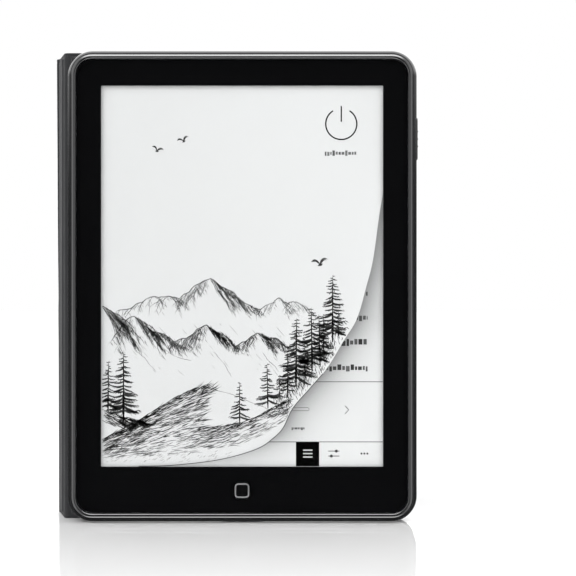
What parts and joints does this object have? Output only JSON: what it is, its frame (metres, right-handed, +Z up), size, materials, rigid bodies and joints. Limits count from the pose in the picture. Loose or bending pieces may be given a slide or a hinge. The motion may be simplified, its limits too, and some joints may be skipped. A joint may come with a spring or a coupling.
{
  "type": "e-reader in folio case",
  "caption": "Flat portrait reading tablet with pale paper-like display and home key, in a soft rim shell with a folio cover hinged at the left and folded behind it.",
  "frame": {"origin": "bottom centre of the whole object's box, with the reader standing upright on its lower edge and the cover folded behind it", "axes": "+Z up along the display's long side, -Y where the display faces, +X to the display's right"},
  "size_m": [0.1186, 0.0234, 0.1522],
  "materials": {
    "smoke_shell": "glossy smoke-coloured soft plastic",
    "clear_glass": "polished",
    "mask_black": "printed black",
    "key_black": "polished black",
    "ring_grey": "satin grey",
    "clear_film": "clear film",
    "display_paper": "matt paper-like",
    "flex_amber": "satin polyimide",
    "cast_metal": "as cast",
    "housing_black": "fine texture",
    "board_green": "solder mask",
    "bright_steel": "plated",
    "chip_black": "moulded",
    "antenna_copper": "printed film",
    "pouch_silver": "laminated foil",
    "tape_white": "matt",
    "lead_red": "satin",
    "grey_board": "pressed fibre board",
    "ribbed_leather": "finely ribbed, satin",
    "grey_lining": "suede-like microfibre"
  },
  "bodies": {
    "reader": {"bumper_shell": "smoke_shell", "front_glass": "clear_glass", "bezel_mask": "mask_black", "touch_sensor": "clear_film", "light_guide": "clear_film", "light_strip": "flex_amber", "eink_panel": "display_paper", "display_flex": "flex_amber", "mid_frame": "cast_metal", "rear_housing": "housing_black", "mainboard": "board_green", "shield_can": "bright_steel", "processor": "chip_black", "memory_chip": "chip_black", "storage_chip": "chip_black", "power_chip": "chip_black", "hall_sensor": "chip_black", "radio_module": "bright_steel", "antenna_film": "antenna_copper", "charge_socket": "bright_steel", "battery": "pouch_silver", "battery_guard": "flex_amber", "battery_tape": "tape_white", "battery_socket": "tape_white", "battery_lead": "lead_red", "home_switch": "bright_steel", "power_switch": "chip_black", "power_flex": "flex_amber", "board_screw_1": "bright_steel", "board_screw_2": "bright_steel", "board_screw_3": "bright_steel", "board_screw_4": "bright_steel", "back_board": "grey_board", "back_leather": "ribbed_leather"},
    "home_button": {"home_key": "key_black", "home_ring": "ring_grey"},
    "power_button": {"power_key": "key_black", "power_pad": "smoke_shell"},
    "spine": {"spine_leather": "ribbed_leather", "spine_board": "grey_board", "spine_lining": "grey_lining"},
    "cover": {"cover_leather": "ribbed_leather", "cover_board": "grey_board", "cover_lining": "grey_lining", "cover_magnet_1": "bright_steel", "cover_magnet_2": "bright_steel"}
  },
  "joints": [
    {"name": "home_press", "type": "slide", "parent": "reader", "child": "home_button", "axis": [0, 1, 0], "range_m": [0, 0.0003], "stiffness_N_per_m": 600},
    {"name": "power_press", "type": "slide", "parent": "reader", "child": "power_button", "axis": [-1, 0, 0], "range_m": [0, 0.00035], "stiffness_N_per_m": 600},
    {"name": "spine_fold", "type": "hinge", "parent": "reader", "child": "spine", "pos_m": [-0.05536, -0.00098, 0.0761], "axis": [0, 0, 1], "range_deg": [0, 163.9]},
    {"name": "cover_fold", "type": "hinge", "parent": "spine", "child": "cover", "pos_m": [-0.05877, 0.01082, 0.0761], "axis": [0, 0, 1], "range_deg": [0, 200.9]}
  ],
  "couplings": [
    {"joint": "spine_fold", "follows": "cover_fold", "ratio": 0.8154}
  ]
}
